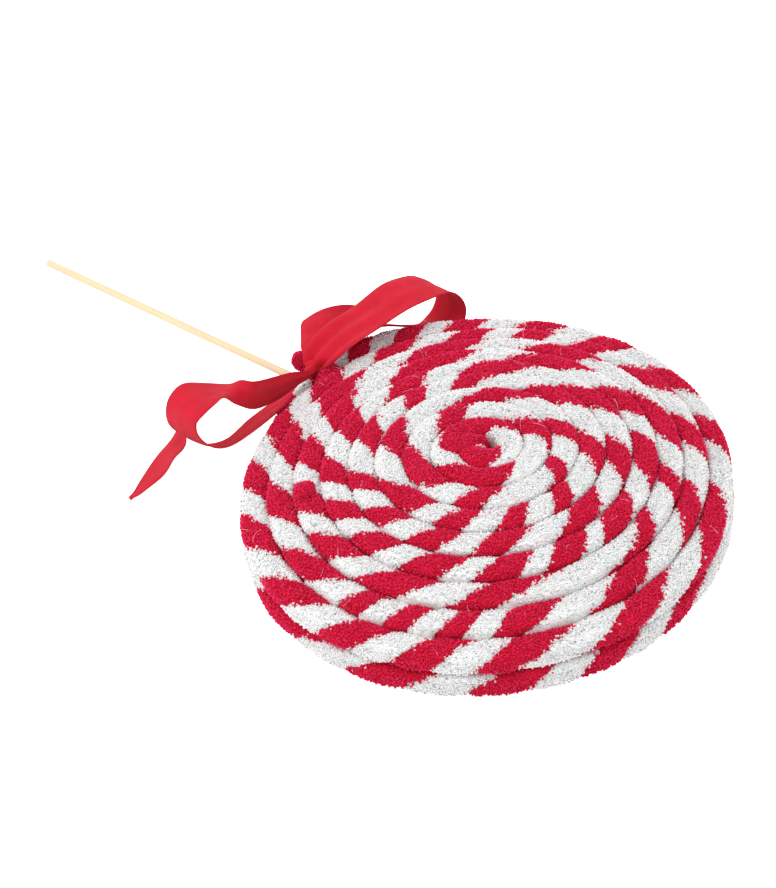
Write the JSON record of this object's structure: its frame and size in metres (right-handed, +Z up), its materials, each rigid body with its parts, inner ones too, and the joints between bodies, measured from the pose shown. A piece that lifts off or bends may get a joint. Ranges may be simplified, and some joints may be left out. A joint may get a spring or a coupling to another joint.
{
  "type": "terry cloth swirl lollipop, craft copy",
  "caption": "Craft copy of a swirl lollipop: a red and white terry rope coiled into a domed disc on a wooden dowel, tied with a red ribbon bow.",
  "frame": {"origin": "middle of the object's footprint, on the surface that it lies on", "axes": "+Z up out of the disc's shown side, the dowel points along -Y, +X across the disc"},
  "size_m": [0.2424, 0.4498, 0.0462],
  "materials": {
    "red_terry": "matte looped terry",
    "white_terry": "matte looped terry",
    "red_ribbon": "matte woven ribbon",
    "wood": "bare pale wood"
  },
  "bodies": {
    "root": {"strand_red": "red_terry", "strand_white": "white_terry", "centre_knob": "red_terry", "strand_end": "red_terry", "rope_end": "red_terry", "dowel": "wood", "bow_knot": "red_ribbon", "bow_loop_right": "red_ribbon", "bow_loop_left": "red_ribbon", "ribbon_tail_front": "red_ribbon", "ribbon_tail_back": "red_ribbon"}
  },
  "joints": []
}
